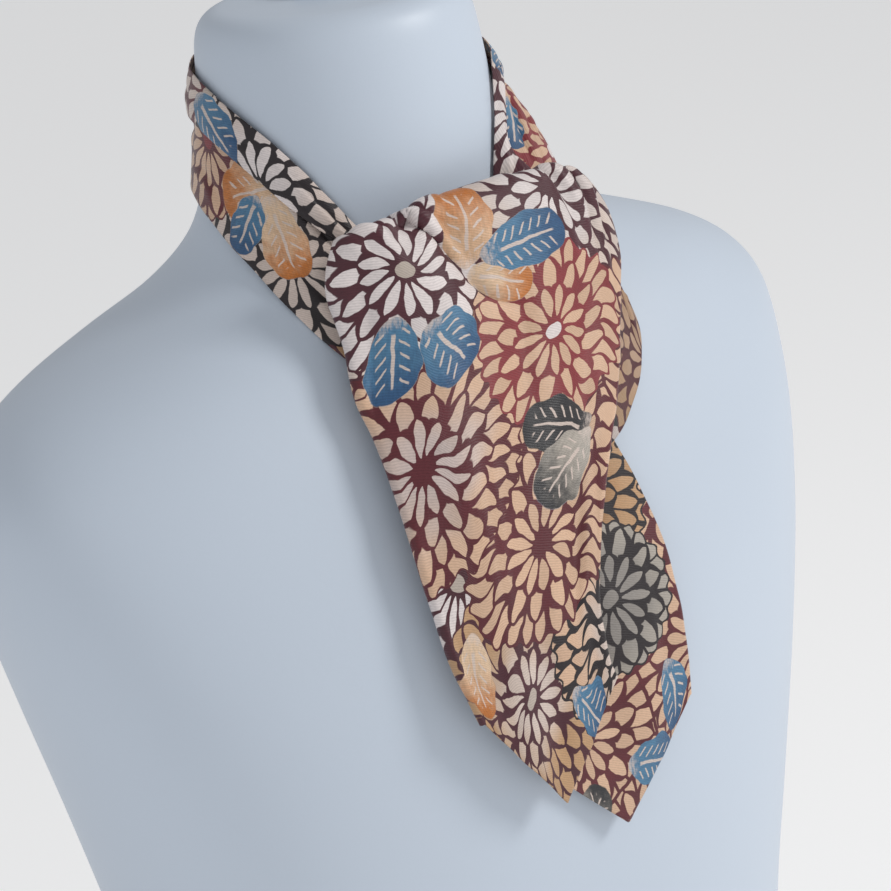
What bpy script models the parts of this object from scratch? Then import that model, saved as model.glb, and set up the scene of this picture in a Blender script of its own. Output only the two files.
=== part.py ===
"""A silk day cravat, tied once over and let fall in front, on a limbless table-top dress form.

The form faces -Y and stands on its flat base at z = 0, under the axis of its neck.
The wearer's right hand is towards -X. Sizes are in metres, and the tables in millimetres.
"""

import math

import bmesh
import bpy
import numpy as np
from mathutils import Vector

MM = 0.001

# Driving dimensions
FORM_HEIGHT = 640
PLY_GAP = 0.5
BAND_WALL = 1.2
PLEAT_WALL = 1.2
CROSSING_WALL = 1.4
BLADE_WALL = 1.4
FRONT_TURN = (2.2, 1.5)
BACK_TURN = (1.2, 1.0)
TURN_RETURN = 6.0
TURN_START = 6
TURN_RAMP = 8
TURN_END = 5

# The form: outline of each level, half as wide as `half`, `front` and `back` deep about `lean`
FORM_COLUMNS = ("level", "half", "front", "back", "lean", "square")
FORM_ROWS = (
    (0, 136, 96, 90, 0, 2.3),
    (4, 141, 101, 95, 0, 2.3),
    (40, 144, 103, 97, 0, 2.3),
    (100, 140, 101, 91, 0, 2.3),
    (160, 136, 100, 86, 0, 2.3),
    (220, 141, 104, 86, 0, 2.3),
    (280, 152, 111, 90, 0, 2.3),
    (340, 164, 116, 95, 0, 2.3),
    (390, 175, 114, 99, 0, 2.3),
    (430, 183, 105, 102, 0, 2.3),
    (460, 186, 95, 102, 0, 2.25),
    (482, 184, 87, 99, 0, 2.2),
    (498, 174, 80, 95, 0, 2.15),
    (511, 156, 74, 89, 0, 2.1),
    (523, 129, 69, 81, 0, 2.05),
    (535, 98, 65, 72, -1, 2.0),
    (548, 76, 62, 65, -2, 2.0),
    (562, 65, 60, 60.5, -3.5, 2.0),
    (580, 59.5, 59, 59, -4.5, 2.0),
    (600, 57.5, 57.5, 57.5, -5, 2.0),
    (618, 56, 56, 56, -5, 2.0),
    (629, 54.5, 54.5, 54.5, -5, 2.0),
    (635.5, 51.5, 51.5, 51.5, -5, 2.0),
    (639, 46, 46, 46, -5, 2.0),
    (640, 38, 38, 38, -5, 2.0),
)
FORM_SEGMENTS = 52
FORM_LEVELS = 37
KNOB_RADIUS = 14
KNOB_HEIGHT = 7

# Upper fold of the neckband: angle round the neck from the throat, + to the wearer's left
PLEAT_COLUMNS = ("angle", "top", "fold_angle", "fold")
PLEAT_ROWS = (
    (-33, 557.5, -33, 551),
    (-38, 564.5, -38, 556),
    (-45, 574.5, -45, 562.5),
    (-54, 586.2, -54, 571),
    (-66, 597.8, -66, 581.5),
    (-82, 608.3, -82, 592),
    (-100, 616, -100, 600),
    (-125, 619, -125, 603),
    (-180, 621, -180, 604),
    (-230, 617, -230, 601),
    (-266, 612, -266, 597.5),
    (-286, 610, -287, 597.5),
    (-298, 607.5, -301, 597.5),
    (-306, 603.5, -310, 595.5),
    (-313, 597, -316, 589),
    (-319.5, 588, -320, 580),
    (-325.5, 578, -324, 571.5),
    (-330, 568, -326, 565),
    (-334, 557.5, -327, 561.5),
)

# Lower fold of the neckband: edge tucked under the pleat, outer ridge and lower edge,
# with their reach from the leaning axis of the neck
BAND_COLUMNS = ("angle", "tuck", "ridge", "ridge_reach", "low", "low_reach")
BAND_ROWS = (
    (-32, 551, 536, 75.2, 507, 89.5),
    (-38, 558, 541, 74.2, 514, 89.5),
    (-45, 567, 548, 72.5, 524, 86.5),
    (-54, 577, 556.5, 69.7, 536, 81.4),
    (-66, 587.5, 567.5, 66.0, 549, 74.7),
    (-82, 598, 578, 62.8, 560, 68.6),
    (-100, 607, 586, 61.2, 569, 65.0),
    (-125, 610, 590, 60.8, 573, 63.6),
    (-180, 611, 591, 60.8, 574, 63.6),
    (-230, 608, 588, 61.2, 571, 64.4),
    (-266, 604, 583, 64.0, 564, 69.5),
    (-286, 602, 580, 67.5, 558, 74.8),
    (-300, 599, 576, 71.2, 553, 79.5),
    (-309, 594, 572, 73.6, 549, 83.0),
    (-317, 583, 566, 74.6, 544, 85.0),
    (-325, 572, 558, 75.4, 538, 86.4),
)

# Crossing under the blades, from the wearer's left: upper edge, belly and lower edge
CROSSING_COLUMNS = (
    "top_side", "top", "top_reach",
    "belly_side", "belly", "belly_reach",
    "low_side", "low", "low_reach",
)
CROSSING_ROWS = (
    (41, 554, 60.5, 62.5, 532, 62.0, 73, 505, 71.8),
    (43, 552, 64.6, 67, 521, 68.3, 71.7, 492, 79.3),
    (40, 552, 68.6, 62.5, 512, 73.6, 65, 480, 86.5),
    (34, 552, 72.0, 51.5, 507.5, 80.0, 53, 470, 94.0),
    (22, 552, 73.5, 35, 505, 87.0, 36, 461, 101.3),
    (5, 551.5, 74.5, 12, 504.5, 89.0, 13, 456.5, 105.3),
    (-12, 551, 74.0, -14, 507, 87.5, -16, 460, 104.3),
    (-26, 549, 71.0, -32, 512, 82.5, -36, 471, 98.5),
    (-35, 546, 68.5, -43, 517, 76.5, -47, 485, 90.5),
    (-43, 543, 65.5, -50, 522, 71.5, -54, 499, 80.5),
)

# Back blade, left and right from the front, with its reach ahead of the neck's axis
BACK_COLUMNS = (
    "height", "left", "right", "bow",
    "reach", "left_height", "left_reach", "right_height", "right_reach",
)
BACK_ROWS = (
    (500, -31, 26, 2.0, 84.8, 500, 84.8, 500, 84.8),
    (485, -35, 31, 2.0, 91.0, 485, 90.6, 485, 90.6),
    (465, -38, 37, 2.0, 98.0, 465, 97.4, 465, 97.0),
    (440, -38, 43, 2.0, 106.6, 440, 106.2, 440, 105.0),
    (415, -36, 46, 1.8, 113.4, 415, 113.0, 417, 112.0),
    (390, -34, 46, 1.5, 118.4, 392, 118.0, 395, 116.8),
    (365, -33, 45, 1.2, 120.8, 373, 120.4, 378, 119.2),
    (342, -32, 44, 1.0, 121.4, 360, 121.0, 365, 120.2),
    (316, -31.5, 43.5, 1.0, 120.8, 353, 121.0, 357, 120.4),
)

# Front blade: tail behind the turnover, the turnover over the crossing, the fall and the point
FRONT_COLUMNS = BACK_COLUMNS
FRONT_ROWS = (
    (548, -30, 24, 2.0, 69.5, 546, 67.0, 547, 69.0),
    (557, -38, 33, 3.0, 70.4, 553, 67.0, 555, 70.5),
    (564.5, -45, 45, 4.5, 72.4, 557, 67.0, 558.5, 72.0),
    (568, -52, 57, 6.0, 77.0, 560, 68.5, 558.5, 73.0),
    (565.5, -56, 62.5, 4.8, 82.0, 555.5, 69.4, 552, 73.5),
    (557.5, -58, 66, 3.8, 86.2, 550, 70.2, 544.5, 75.0),
    (546, -59.5, 67.2, 3.2, 89.6, 542.5, 71.8, 535, 77.0),
    (531.5, -59, 65, 2.9, 93.0, 533, 74.2, 524.5, 81.5),
    (516.5, -59, 59.2, 2.7, 96.6, 523, 77.8, 513.5, 86.5),
    (501.5, -61, 52.4, 2.5, 101.0, 511.5, 82.8, 502, 92.5),
    (486.5, -62, 44, 2.5, 106.0, 498.5, 89.5, 489.5, 100.0),
    (471, -61.5, 34.2, 2.4, 111.0, 484.5, 96.0, 475, 107.0),
    (455.5, -61.5, 25.5, 2.3, 115.0, 470, 102.0, 460.5, 111.4),
    (440, -62, 18.2, 2.2, 118.4, 455, 108.0, 446, 115.0),
    (422, -62, 11.6, 2.0, 121.6, 438, 113.5, 429.5, 118.6),
    (402, -61.5, 5.5, 1.7, 124.4, 421, 118.0, 412.5, 122.0),
    (381, -60, 3, 1.4, 126.6, 404.5, 121.5, 397.5, 124.6),
    (359, -58, 3, 1.15, 127.9, 391, 123.8, 386.5, 126.2),
    (338, -56, 5, 1.0, 128.2, 381.5, 125.0, 379, 127.0),
)

# Large folds of the front blade. Across runs from -1 to 1, along from 0 at the tail to 1
FOLD_COLUMNS = ("across", "along", "to_across", "to_along", "width", "depth", "fade")
FRONT_FOLDS = (
    (-0.56, 0.15, -0.53, 0.21, 0.09, -2.8, 0.07),
    (-0.52, 0.23, -0.32, 0.28, 0.09, -2.6, 0.05),
    (-0.30, 0.28, -0.20, 0.36, 0.10, -2.8, 0.07),
    (-0.18, 0.37, 0.10, 0.45, 0.12, -2.4, 0.08),
    (-0.34, 0.23, -0.08, 0.31, 0.14, 2.2, 0.06),
    (0.60, 0.14, 0.66, 0.21, 0.10, -2.6, 0.07),
    (0.82, 0.13, 0.84, 0.20, 0.12, 2.2, 0.07),
    (0.62, 0.42, 0.66, 0.80, 0.22, -2.2, 0.16),
    (-0.55, 0.50, -0.35, 0.86, 0.26, 1.8, 0.18),
    (0.10, 0.55, 0.05, 0.92, 0.22, -1.8, 0.18),
)
BACK_FOLDS = (
    (0.45, 0.20, 0.42, 0.85, 0.24, 1.6, 0.2),
    (-0.30, 0.15, -0.10, 0.70, 0.24, -1.2, 0.2),
)

# Colour, roughness and metallic value of each piece
FINISH_COLUMNS = ("colour", "roughness", "metallic")
FINISHES = {
    "form_body": ((0.80, 0.84, 0.89, 1.0), 0.42, 0.0),
    "form_knob": ((0.78, 0.82, 0.87, 1.0), 0.40, 0.0),
    "neckband": ((0.55, 0.37, 0.31, 1.0), 0.48, 0.0),
    "neckband_pleat": ((0.60, 0.43, 0.36, 1.0), 0.46, 0.0),
    "crossing": ((0.52, 0.33, 0.28, 1.0), 0.50, 0.0),
    "back_blade": ((0.58, 0.47, 0.41, 1.0), 0.48, 0.0),
    "front_blade": ((0.64, 0.45, 0.37, 1.0), 0.46, 0.0),
}


def clear_scene():
    for item in list(bpy.data.objects):
        bpy.data.objects.remove(item)


def material(name):
    finish = dict(zip(FINISH_COLUMNS, FINISHES[name]))
    made = bpy.data.materials.new(name)
    made.use_nodes = True
    shader = made.node_tree.nodes["Principled BSDF"]
    shader.inputs["Base Color"].default_value = finish["colour"]
    shader.inputs["Roughness"].default_value = finish["roughness"]
    shader.inputs["Metallic"].default_value = finish["metallic"]
    return made


def add_object(name, bm):
    bmesh.ops.recalc_face_normals(bm, faces=bm.faces)
    mesh = bpy.data.meshes.new(name)
    bm.to_mesh(mesh)
    bm.free()
    mesh.shade_smooth()
    mesh.set_sharp_from_angle(angle=math.radians(50))
    mesh.materials.append(material(name))
    made = bpy.data.objects.new(name, mesh)
    bpy.context.scene.collection.objects.link(made)
    return made


def spline(rows, places):
    """Reads a table at fractional row numbers, along a smooth curve through each column."""
    table = np.array(rows, float)
    last = len(table) - 1
    slopes = np.gradient(table, axis=0)
    index = np.clip(np.floor(places).astype(int), 0, last - 1)
    share = (np.asarray(places, float) - index)[:, None]
    start, end = table[index], table[index + 1]
    rise, fall = slopes[index], slopes[index + 1]
    cube, square = share**3, share**2
    return (
        start * (2 * cube - 3 * square + 1)
        + rise * (cube - 2 * square + share)
        + end * (3 * square - 2 * cube)
        + fall * (cube - square)
    )


def column(table, names, name):
    return table[..., names.index(name)]


def form_loops():
    """The form's table, read along smooth curves at evenly spread places."""
    return spline(FORM_ROWS, np.linspace(0, len(FORM_ROWS) - 1, FORM_LEVELS))


def form_at(level):
    """Half width, front, back, lean and squareness of the form at a level."""
    rows = form_loops()
    return [np.interp(level, rows[:, 0], rows[:, k]) for k in range(1, len(FORM_COLUMNS))]


def form_point(angle, row):
    """A point of the form's skin on a row of its table. The angle is 0 in front."""
    level, half, front, back, lean, square = row
    side, ahead = math.sin(angle), math.cos(angle)
    depth = -front if ahead > 0 else back
    return Vector((
        half * math.copysign(abs(side) ** (2 / square), side),
        depth * abs(ahead) ** (2 / square) + lean,
        level,
    ))


def neck_reach(turn, level):
    """Distance from the leaning axis of the neck to its skin."""
    half, front, back = form_at(level)[:3]
    depth = front if math.cos(turn) > 0 else back
    return half * depth / math.hypot(depth * math.sin(turn), half * math.cos(turn))


def neck_point(turn, level, reach):
    """A point round the leaning axis of the neck."""
    return (reach * math.sin(turn), form_at(level)[3] - reach * math.cos(turn), level)


def build_form():
    bm = bmesh.new()
    loops = []
    for k, row in enumerate(form_loops()):
        closed = k in (0, FORM_LEVELS - 1)
        ring = bmesh.ops.create_circle(bm, cap_ends=closed, radius=1, segments=FORM_SEGMENTS)
        for i, vertex in enumerate(ring["verts"]):
            vertex.co = form_point(2 * math.pi * i / FORM_SEGMENTS, row) * MM
        edges = {e for v in ring["verts"] for e in v.link_edges}
        loops.append(list(edges))
    for lower, upper in zip(loops, loops[1:]):
        bmesh.ops.bridge_loops(bm, edges=lower + upper)
    bmesh.ops.remove_doubles(bm, verts=bm.verts, dist=1e-6)
    return add_object("form_body", bm)


def build_knob():
    """Low round knob on the flat of the neck."""
    bm = bmesh.new()
    bmesh.ops.create_cone(
        bm, cap_ends=True, segments=36, depth=KNOB_HEIGHT * MM,
        radius1=KNOB_RADIUS * MM, radius2=KNOB_RADIUS * MM,
    )
    rim = [e for e in bm.edges if all(v.co.z > 0 for v in e.verts)]
    bmesh.ops.bevel(
        bm, geom=rim, offset=2.5 * MM, segments=3, affect="EDGES", profile=0.5, material=-1
    )
    lean = form_at(FORM_HEIGHT)[3]
    foot = FORM_HEIGHT + 0.3
    bmesh.ops.translate(bm, verts=bm.verts, vec=Vector((0, lean, foot + KNOB_HEIGHT / 2)) * MM)
    return add_object("form_knob", bm)


def cloth_wall(name, points, wall):
    """A cloth wall on a grid of points in millimetres, thickened to its outer side."""
    across, along = points.shape[:2]
    bm = bmesh.new()
    bmesh.ops.create_grid(bm, x_segments=across - 1, y_segments=along - 1, size=1)
    for vertex in bm.verts:
        i = round((vertex.co.x + 1) / 2 * (across - 1))
        j = round((vertex.co.y + 1) / 2 * (along - 1))
        vertex.co = Vector(points[i, j]) * MM
    made = add_object(name, bm)
    middle = points[across // 2, along // 2]
    faces_out = sum(f.normal.dot(Vector(middle * (1, 1, 0))) for f in made.data.polygons)
    if faces_out < 0:
        made.data.flip_normals()
    thick = made.modifiers.new("wall", "SOLIDIFY")
    thick.thickness = wall * MM
    thick.offset = 1.0
    thick.use_even_offset = False
    return made


def normals_of(points):
    """Unit normals of a grid of points, away from the neck's axis on the whole."""
    du, dv = np.gradient(points, axis=0), np.gradient(points, axis=1)
    normal = np.cross(du, dv)
    normal /= np.linalg.norm(normal, axis=2, keepdims=True) + 1e-12
    middle = points[len(points) // 2, points.shape[1] // 2]
    facing = normal[len(points) // 2, points.shape[1] // 2] @ (middle * (1, 1, 0))
    return normal if facing > 0 else -normal


def band_section(row, down):
    """Points down the band's section at one angle."""
    size = dict(zip(BAND_COLUMNS, row))
    turn = math.radians(size["angle"])
    levels = (size["tuck"], size["ridge"], size["low"])
    tuck_reach = neck_reach(turn, size["tuck"]) + PLY_GAP
    reaches = (tuck_reach, size["ridge_reach"], size["low_reach"])
    section = spline(list(zip(levels, reaches)), np.linspace(0, 2, down))
    return [neck_point(turn, level, reach) for level, reach in section]


def round_neck(table, around):
    """Reads a table at even steps of its first column, which falls."""
    angles = np.array([row[0] for row in table])
    steps = np.linspace(angles[0], angles[-1], around)
    return spline(table, np.interp(-steps, -angles, np.arange(len(table))))


def build_band(around=56, down=7):
    rows = round_neck(BAND_ROWS, around)
    return cloth_wall("neckband", np.array([band_section(r, down) for r in rows]), BAND_WALL)


def build_pleat(around=56, down=5):
    """The upper fold lies on the neck at its top, and on the band at its fold."""
    angles = np.array([row[0] for row in BAND_ROWS])
    points = np.zeros((around, down, 3))
    for i, (angle, top, fold_angle, fold) in enumerate(round_neck(PLEAT_ROWS, around)):
        place = np.interp(-fold_angle, -angles, np.arange(len(angles)))
        section = np.array(band_section(spline(BAND_ROWS, [place])[0], 25))
        reaches = np.hypot(section[:, 0], section[:, 1] - [form_at(z)[3] for z in section[:, 2]])
        levels, reaches = section[::-1, 2], reaches[::-1]
        slant = math.hypot(1, np.interp(fold, levels, np.gradient(reaches, levels)))
        fold_reach = np.interp(fold, levels, reaches) + (BAND_WALL + PLY_GAP) * slant
        top_reach = neck_reach(math.radians(angle), top) + PLY_GAP
        for j, share in enumerate(np.linspace(0, 1, down)):
            reach = top_reach + (fold_reach - top_reach) * math.sin(share * math.pi / 2)
            turn = math.radians(angle + (fold_angle - angle) * share)
            points[i, j] = neck_point(turn, top + (fold - top) * share, reach)
    return cloth_wall("neckband_pleat", points, PLEAT_WALL)


def build_crossing(along=28, down=8):
    table = spline(CROSSING_ROWS, np.linspace(0, len(CROSSING_ROWS) - 1, along))
    sections = table.reshape(along, 3, 3)
    points = np.array([spline(section, np.linspace(0, 2, down)) for section in sections])
    side, level, reach = np.moveaxis(points, 2, 0)
    return cloth_wall("crossing", np.stack((side, -reach, level), axis=2), CROSSING_WALL)


def fold_depth(across, along, folds):
    """How far the folds move the cloth out, at places given as across and along."""
    total = np.zeros_like(across)
    for row in folds:
        fold = dict(zip(FOLD_COLUMNS, row))
        start = np.array((fold["across"], fold["along"]))
        run = np.array((fold["to_across"], fold["to_along"])) - start
        offset = np.stack((across, along), axis=-1) - start
        share = (offset @ run) / (run @ run)
        nearest = np.clip(share, 0, 1)[..., None] * run
        gap = offset - nearest
        sideways = np.abs(gap[..., 0]) / fold["width"]
        beyond = np.abs(gap[..., 1]) / fold["fade"]
        total += fold["depth"] * np.exp(-(sideways**2) - beyond**2)
    return total


def blade_points(rows, names, folds, across, along, turn):
    """A hanging blade with its sides turned under, as a grid of points."""
    table = spline(rows, np.linspace(0, len(rows) - 1, along))
    flat = np.linspace(-1, 1, across)
    points = np.zeros((across, along, 3))
    for j, row in enumerate(table):
        size = dict(zip(names, row))
        bow = np.abs(flat) ** size["bow"]
        swell = np.abs(flat) ** max(size["bow"], 2.0)
        edge_height = np.where(flat < 0, size["left_height"], size["right_height"])
        edge_reach = np.where(flat < 0, size["left_reach"], size["right_reach"])
        middle, half = (size["left"] + size["right"]) / 2, (size["right"] - size["left"]) / 2
        points[:, j, 0] = middle + half * flat
        points[:, j, 1] = -(size["reach"] + (edge_reach - size["reach"]) * swell)
        points[:, j, 2] = size["height"] + (edge_height - size["height"]) * bow
    if folds:
        places = np.meshgrid(flat, np.linspace(0, 1, along), indexing="ij")
        points += normals_of(points) * fold_depth(*places, folds)[..., None]
    normal = normals_of(points)
    left = turned_edge(points[0], points[1], normal[0], turn)
    right = turned_edge(points[-1], points[-2], normal[-1], turn)
    return np.concatenate((left[::-1], points, right))


def turned_edge(edge, inner, normal, turn):
    """Points past a side edge that curls under the cloth. It flattens towards both ends."""
    out = edge - inner
    out -= normal * (out * normal).sum(1, keepdims=True)
    out /= np.linalg.norm(out, axis=1, keepdims=True)
    places = np.arange(len(edge))
    opening = (places - TURN_START) / TURN_RAMP
    closing = (len(edge) - 1 - places) / TURN_END
    ease = np.clip(np.minimum(opening, closing), 0.06, 1)
    radius = (np.linspace(*turn, len(edge)) * ease)[:, None]
    rows = []
    for angle in (45, 90, 135, 180):
        outward = radius * math.sin(math.radians(angle))
        inward = radius * (1 - math.cos(math.radians(angle)))
        rows.append(edge + out * outward - normal * inward)
    rows.append(rows[-1] - out * TURN_RETURN * ease[:, None])
    return np.array(rows)


def build_blades():
    front = blade_points(FRONT_ROWS, FRONT_COLUMNS, FRONT_FOLDS, 27, 40, FRONT_TURN)
    back = blade_points(BACK_ROWS, BACK_COLUMNS, BACK_FOLDS, 15, 18, BACK_TURN)
    cloth_wall("front_blade", front, BLADE_WALL)
    cloth_wall("back_blade", back, BLADE_WALL)


def main():
    clear_scene()
    build_form()
    build_knob()
    build_band()
    build_pleat()
    build_crossing()
    build_blades()


main()
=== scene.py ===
import math

import bmesh
import bpy
import numpy as np
from mathutils import Matrix, Vector


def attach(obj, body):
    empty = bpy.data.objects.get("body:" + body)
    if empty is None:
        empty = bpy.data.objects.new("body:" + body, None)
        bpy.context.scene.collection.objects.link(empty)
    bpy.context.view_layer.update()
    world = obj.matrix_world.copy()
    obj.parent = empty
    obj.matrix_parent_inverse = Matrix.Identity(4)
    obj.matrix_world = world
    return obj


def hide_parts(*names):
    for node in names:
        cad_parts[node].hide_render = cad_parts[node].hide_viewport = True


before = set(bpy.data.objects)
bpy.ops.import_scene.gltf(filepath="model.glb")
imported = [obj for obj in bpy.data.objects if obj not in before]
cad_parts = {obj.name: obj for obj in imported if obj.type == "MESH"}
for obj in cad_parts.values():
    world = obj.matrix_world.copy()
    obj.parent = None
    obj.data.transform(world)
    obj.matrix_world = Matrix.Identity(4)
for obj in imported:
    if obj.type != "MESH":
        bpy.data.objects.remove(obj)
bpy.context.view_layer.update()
mm = 0.001

formTable = (  # level, half, front, back, lean, square
    (0, 136, 96, 90, 0, 2.3), (4, 141, 101, 95, 0, 2.3), (40, 144, 103, 97, 0, 2.3),
    (100, 140, 101, 91, 0, 2.3), (160, 136, 100, 86, 0, 2.3), (220, 141, 104, 86, 0, 2.3),
    (280, 152, 111, 90, 0, 2.3), (340, 164, 116, 95, 0, 2.3), (390, 175, 114, 99, 0, 2.3),
    (430, 183, 105, 102, 0, 2.3), (460, 186, 95, 102, 0, 2.25), (482, 184, 87, 99, 0, 2.2),
    (498, 174, 80, 95, 0, 2.15), (511, 156, 74, 89, 0, 2.1), (523, 129, 69, 81, 0, 2.05),
    (535, 98, 65, 72, -1, 2.0), (548, 76, 62, 65, -2, 2.0), (562, 65, 60, 60.5, -3.5, 2.0),
    (580, 59.5, 59, 59, -4.5, 2.0), (600, 57.5, 57.5, 57.5, -5, 2.0), (618, 56, 56, 56, -5, 2.0),
    (629, 54.5, 54.5, 54.5, -5, 2.0), (635.5, 51.5, 51.5, 51.5, -5, 2.0), (639, 46, 46, 46, -5, 2.0),
    (640, 38, 38, 38, -5, 2.0),
)
clothSizes = {"shell": 0.7, "plyGap": 0.5}  # thickness of the thin cloth and the air between plies


def spline(rows, places):
    # smooth curve through every column of a table, read at fractional row numbers
    table = np.array(rows, float)
    last = len(table) - 1
    slopes = np.gradient(table, axis=0)
    index = np.clip(np.floor(places).astype(int), 0, last - 1)
    share = (np.asarray(places, float) - index)[:, None]
    cube, square = share**3, share**2
    return (
        table[index] * (2 * cube - 3 * square + 1)
        + slopes[index] * (cube - 2 * square + share)
        + table[index + 1] * (3 * square - 2 * cube)
        + slopes[index + 1] * (cube - square)
    )


formLevels = spline(formTable, np.linspace(0, len(formTable) - 1, 37))


def formAt(level):
    return [np.interp(level, formLevels[:, 0], formLevels[:, k]) for k in range(1, 6)]


def neckReach(turn, level):
    half, front, back = formAt(level)[:3]
    depth = front if math.cos(turn) > 0 else back
    return half * depth / math.hypot(depth * math.sin(turn), half * math.cos(turn))


def neckPoint(turn, level, reach):
    return (reach * math.sin(turn), formAt(level)[3] - reach * math.cos(turn), level)


def roundNeck(table, around):
    # even steps of the first column, which falls
    angles = np.array([row[0] for row in table])
    steps = np.linspace(angles[0], angles[-1], around)
    return spline(table, np.interp(-steps, -angles, np.arange(len(table))))


def normalsOf(points):
    du, dv = np.gradient(points, axis=0), np.gradient(points, axis=1)
    normal = np.cross(du, dv)
    normal /= np.linalg.norm(normal, axis=2, keepdims=True) + 1e-12
    i, j = points.shape[0] // 2, points.shape[1] // 2
    return normal if normal[i, j] @ (points[i, j] * (1, 1, 0)) > 0 else -normal


def clothCoords(points, startRow=0, startColumn=None):
    # distance over the cloth in mm: across from a middle column, and down from a row
    stepU = np.linalg.norm(np.diff(points, axis=0), axis=2)
    stepV = np.linalg.norm(np.diff(points, axis=1), axis=2)
    u = np.concatenate((np.zeros((1, points.shape[1])), np.cumsum(stepU, axis=0)))
    v = np.concatenate((np.zeros((points.shape[0], 1)), np.cumsum(stepV, axis=1)), axis=1)
    middle = points.shape[0] // 2 if startColumn is None else startColumn
    return u - u[middle], v - v[:, startRow:startRow + 1]


def creaseRelief(u, v, rows):
    # soft troughs and ridges: each follows a bent line over the cloth and fades at its ends
    total = np.zeros_like(u)
    t = np.linspace(0, 1, 33)
    for u0, v0, u1, v1, u2, v2, width, depth, lip, openEnd in rows:
        pathU = u0 * (1 - t) * (1 - 2 * t) + 4 * u1 * t * (1 - t) + u2 * t * (2 * t - 1)
        pathV = v0 * (1 - t) * (1 - 2 * t) + 4 * v1 * t * (1 - t) + v2 * t * (2 * t - 1)
        best, near, side = np.full_like(u, 1e9), np.zeros_like(u), np.ones_like(u)
        for k in range(len(t) - 1):
            runU, runV = pathU[k + 1] - pathU[k], pathV[k + 1] - pathV[k]
            gapU, gapV = u - pathU[k], v - pathV[k]
            part = np.clip((gapU * runU + gapV * runV) / (runU**2 + runV**2 + 1e-9), 0, 1)
            offU, offV = gapU - part * runU, gapV - part * runV
            gap = np.hypot(offU, offV)
            closer = gap < best
            best = np.where(closer, gap, best)
            near = np.where(closer, (k + part) / (len(t) - 1), near)
            side = np.where(closer, np.sign(runU * offV - runV * offU), side)
        fade = {"start": 1 - near**2, "end": 1 - (1 - near)**2, "none": 4 * near * (1 - near)}[openEnd]
        signed = best * side
        total += depth * fade * np.exp(-((best / width) ** 2))
        total += lip * fade * np.exp(-(((signed - 1.5 * width) / (1.1 * width)) ** 2))
    return total


def softSwell(u, v, seed, depth=0.32, size=34.0):
    # low uneven swell of cloth that has been worn
    rng = np.random.default_rng(seed)
    total = np.zeros_like(u)
    for _ in range(10):
        turn, phase, long = rng.uniform(0, math.pi), rng.uniform(0, 2 * math.pi), size * rng.uniform(0.5, 1.6)
        total += np.sin((u * math.cos(turn) + v * math.sin(turn)) * 2 * math.pi / long + phase)
    return total * depth / 4


# how the silk is printed: flowers cut out of a dark ground, with brushed leaves over them
printSizes = {
    "outline": 1.5,  # mm of ground left between petals
    "button": 3.3,  # mm, half length of a flower's button
    "scatter": 62.0,  # mm between the flowers that fill the rest of the cloth
    "leafScatter": 84.0,
    "scallop": 0.03,
}
petalRings = (  # count, shift, middle, half length, half width (mm from the flower's centre)
    (13, 0.00, 11.4, 6.6, 2.05),
    (13, 0.50, 19.2, 8.8, 2.85),
    (26, 0.00, 28.0, 9.2, 2.65),
    (26, 0.50, 36.4, 10.0, 3.4),
    (26, 0.00, 44.8, 10.4, 4.1),
    (39, 0.50, 53.4, 10.0, 3.4),
    (39, 0.00, 61.8, 10.0, 4.0),
)


def tone(code):
    # a screen colour as the linear value that shaders take
    return tuple(((int(code[k:k + 2], 16) / 255 + 0.055) / 1.055) ** 2.4 for k in (0, 2, 4))


silkTones = {
    "white": tone("ddd3d1"), "cream": tone("d1c0b6"), "peach": tone("d2ae92"), "sand": tone("bb9570"),
    "brown": tone("9c7045"), "ash": tone("8b8580"), "stone": tone("b5a89d"),
    "maroon": tone("4a1f29"), "wine": tone("5a1e26"), "red": tone("822f34"), "coal": tone("231b1e"),
    "blue": tone("4b7898"), "navy": tone("2d5177"), "ochre": tone("b86d2e"), "beige": tone("d9bb9c"),
    "slate": tone("2b2a2d"), "fog": tone("aaa298"), "dusk": tone("c4b3ad"),
    "tan": tone("cfa987"),
}
# where each piece's cloth lies in the print, mm
printSpots = {"front": (0, 0), "back": (700, 0), "band": (0, 700), "pleat": (700, 700), "crossing": (0, 1400)}
flowerRows = (  # piece, across, down, radius, turn, petals within, petals at the rim, ground, button
    ("front", -8, 196, 50, 0.9, "cream", "sand", "maroon", "stone"),
    ("front", 52, 190, 44, 0.2, "cream", "peach", "coal", "ash"),
    ("front", 32, 10, 42, 0.35, "white", "cream", "maroon", "maroon"),
    ("front", -41.7, 21.6, 36, 0.5, "white", "white", "maroon", "stone"),
    ("front", 8, 143, 36, 0.6, "peach", "peach", "wine", "wine"),
    ("front", -41, 96, 43, 0.4, "dusk", "peach", "wine", "wine"),
    ("front", 20.7, 64.4, 36, 0.1, "peach", "peach", "red", "white"),
    ("back", 2, 58, 40, 0.3, "brown", "sand", "coal", "ash"),
    # a printed flower whose grey petals and coal ground also carry painted shade, the colours of this flower in shadow
    ("back", 8.8, 99.7, 30, 0.5, "ash", "fog", "coal", "ash"),
    ("band", -60, 20, 36, 0.7, "cream", "peach", "maroon", "stone"),
    ("band", -86, 12, 30, 0.2, "peach", "peach", "wine", "red"),
    ("band", -172, 46, 34, 0.6, "sand", "brown", "maroon", "wine"),
    ("band", -147, 29, 36, 0.1, "cream", "cream", "coal", "stone"),
    ("band", 150, 34, 34, 0.8, "peach", "peach", "red", "white"),
    ("pleat", -92, 2, 34, 0.3, "cream", "cream", "wine", "stone"),
    ("pleat", -131, 20, 42, 0.2, "white", "cream", "coal", "stone"),
    ("pleat", 150, 14, 36, 0.4, "white", "cream", "maroon", "stone"),
    ("crossing", -58, 82, 42, 0.3, "peach", "sand", "wine", "red"),
    ("crossing", -20, 40, 34, 0.6, "cream", "peach", "maroon", "stone"),
)
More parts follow.
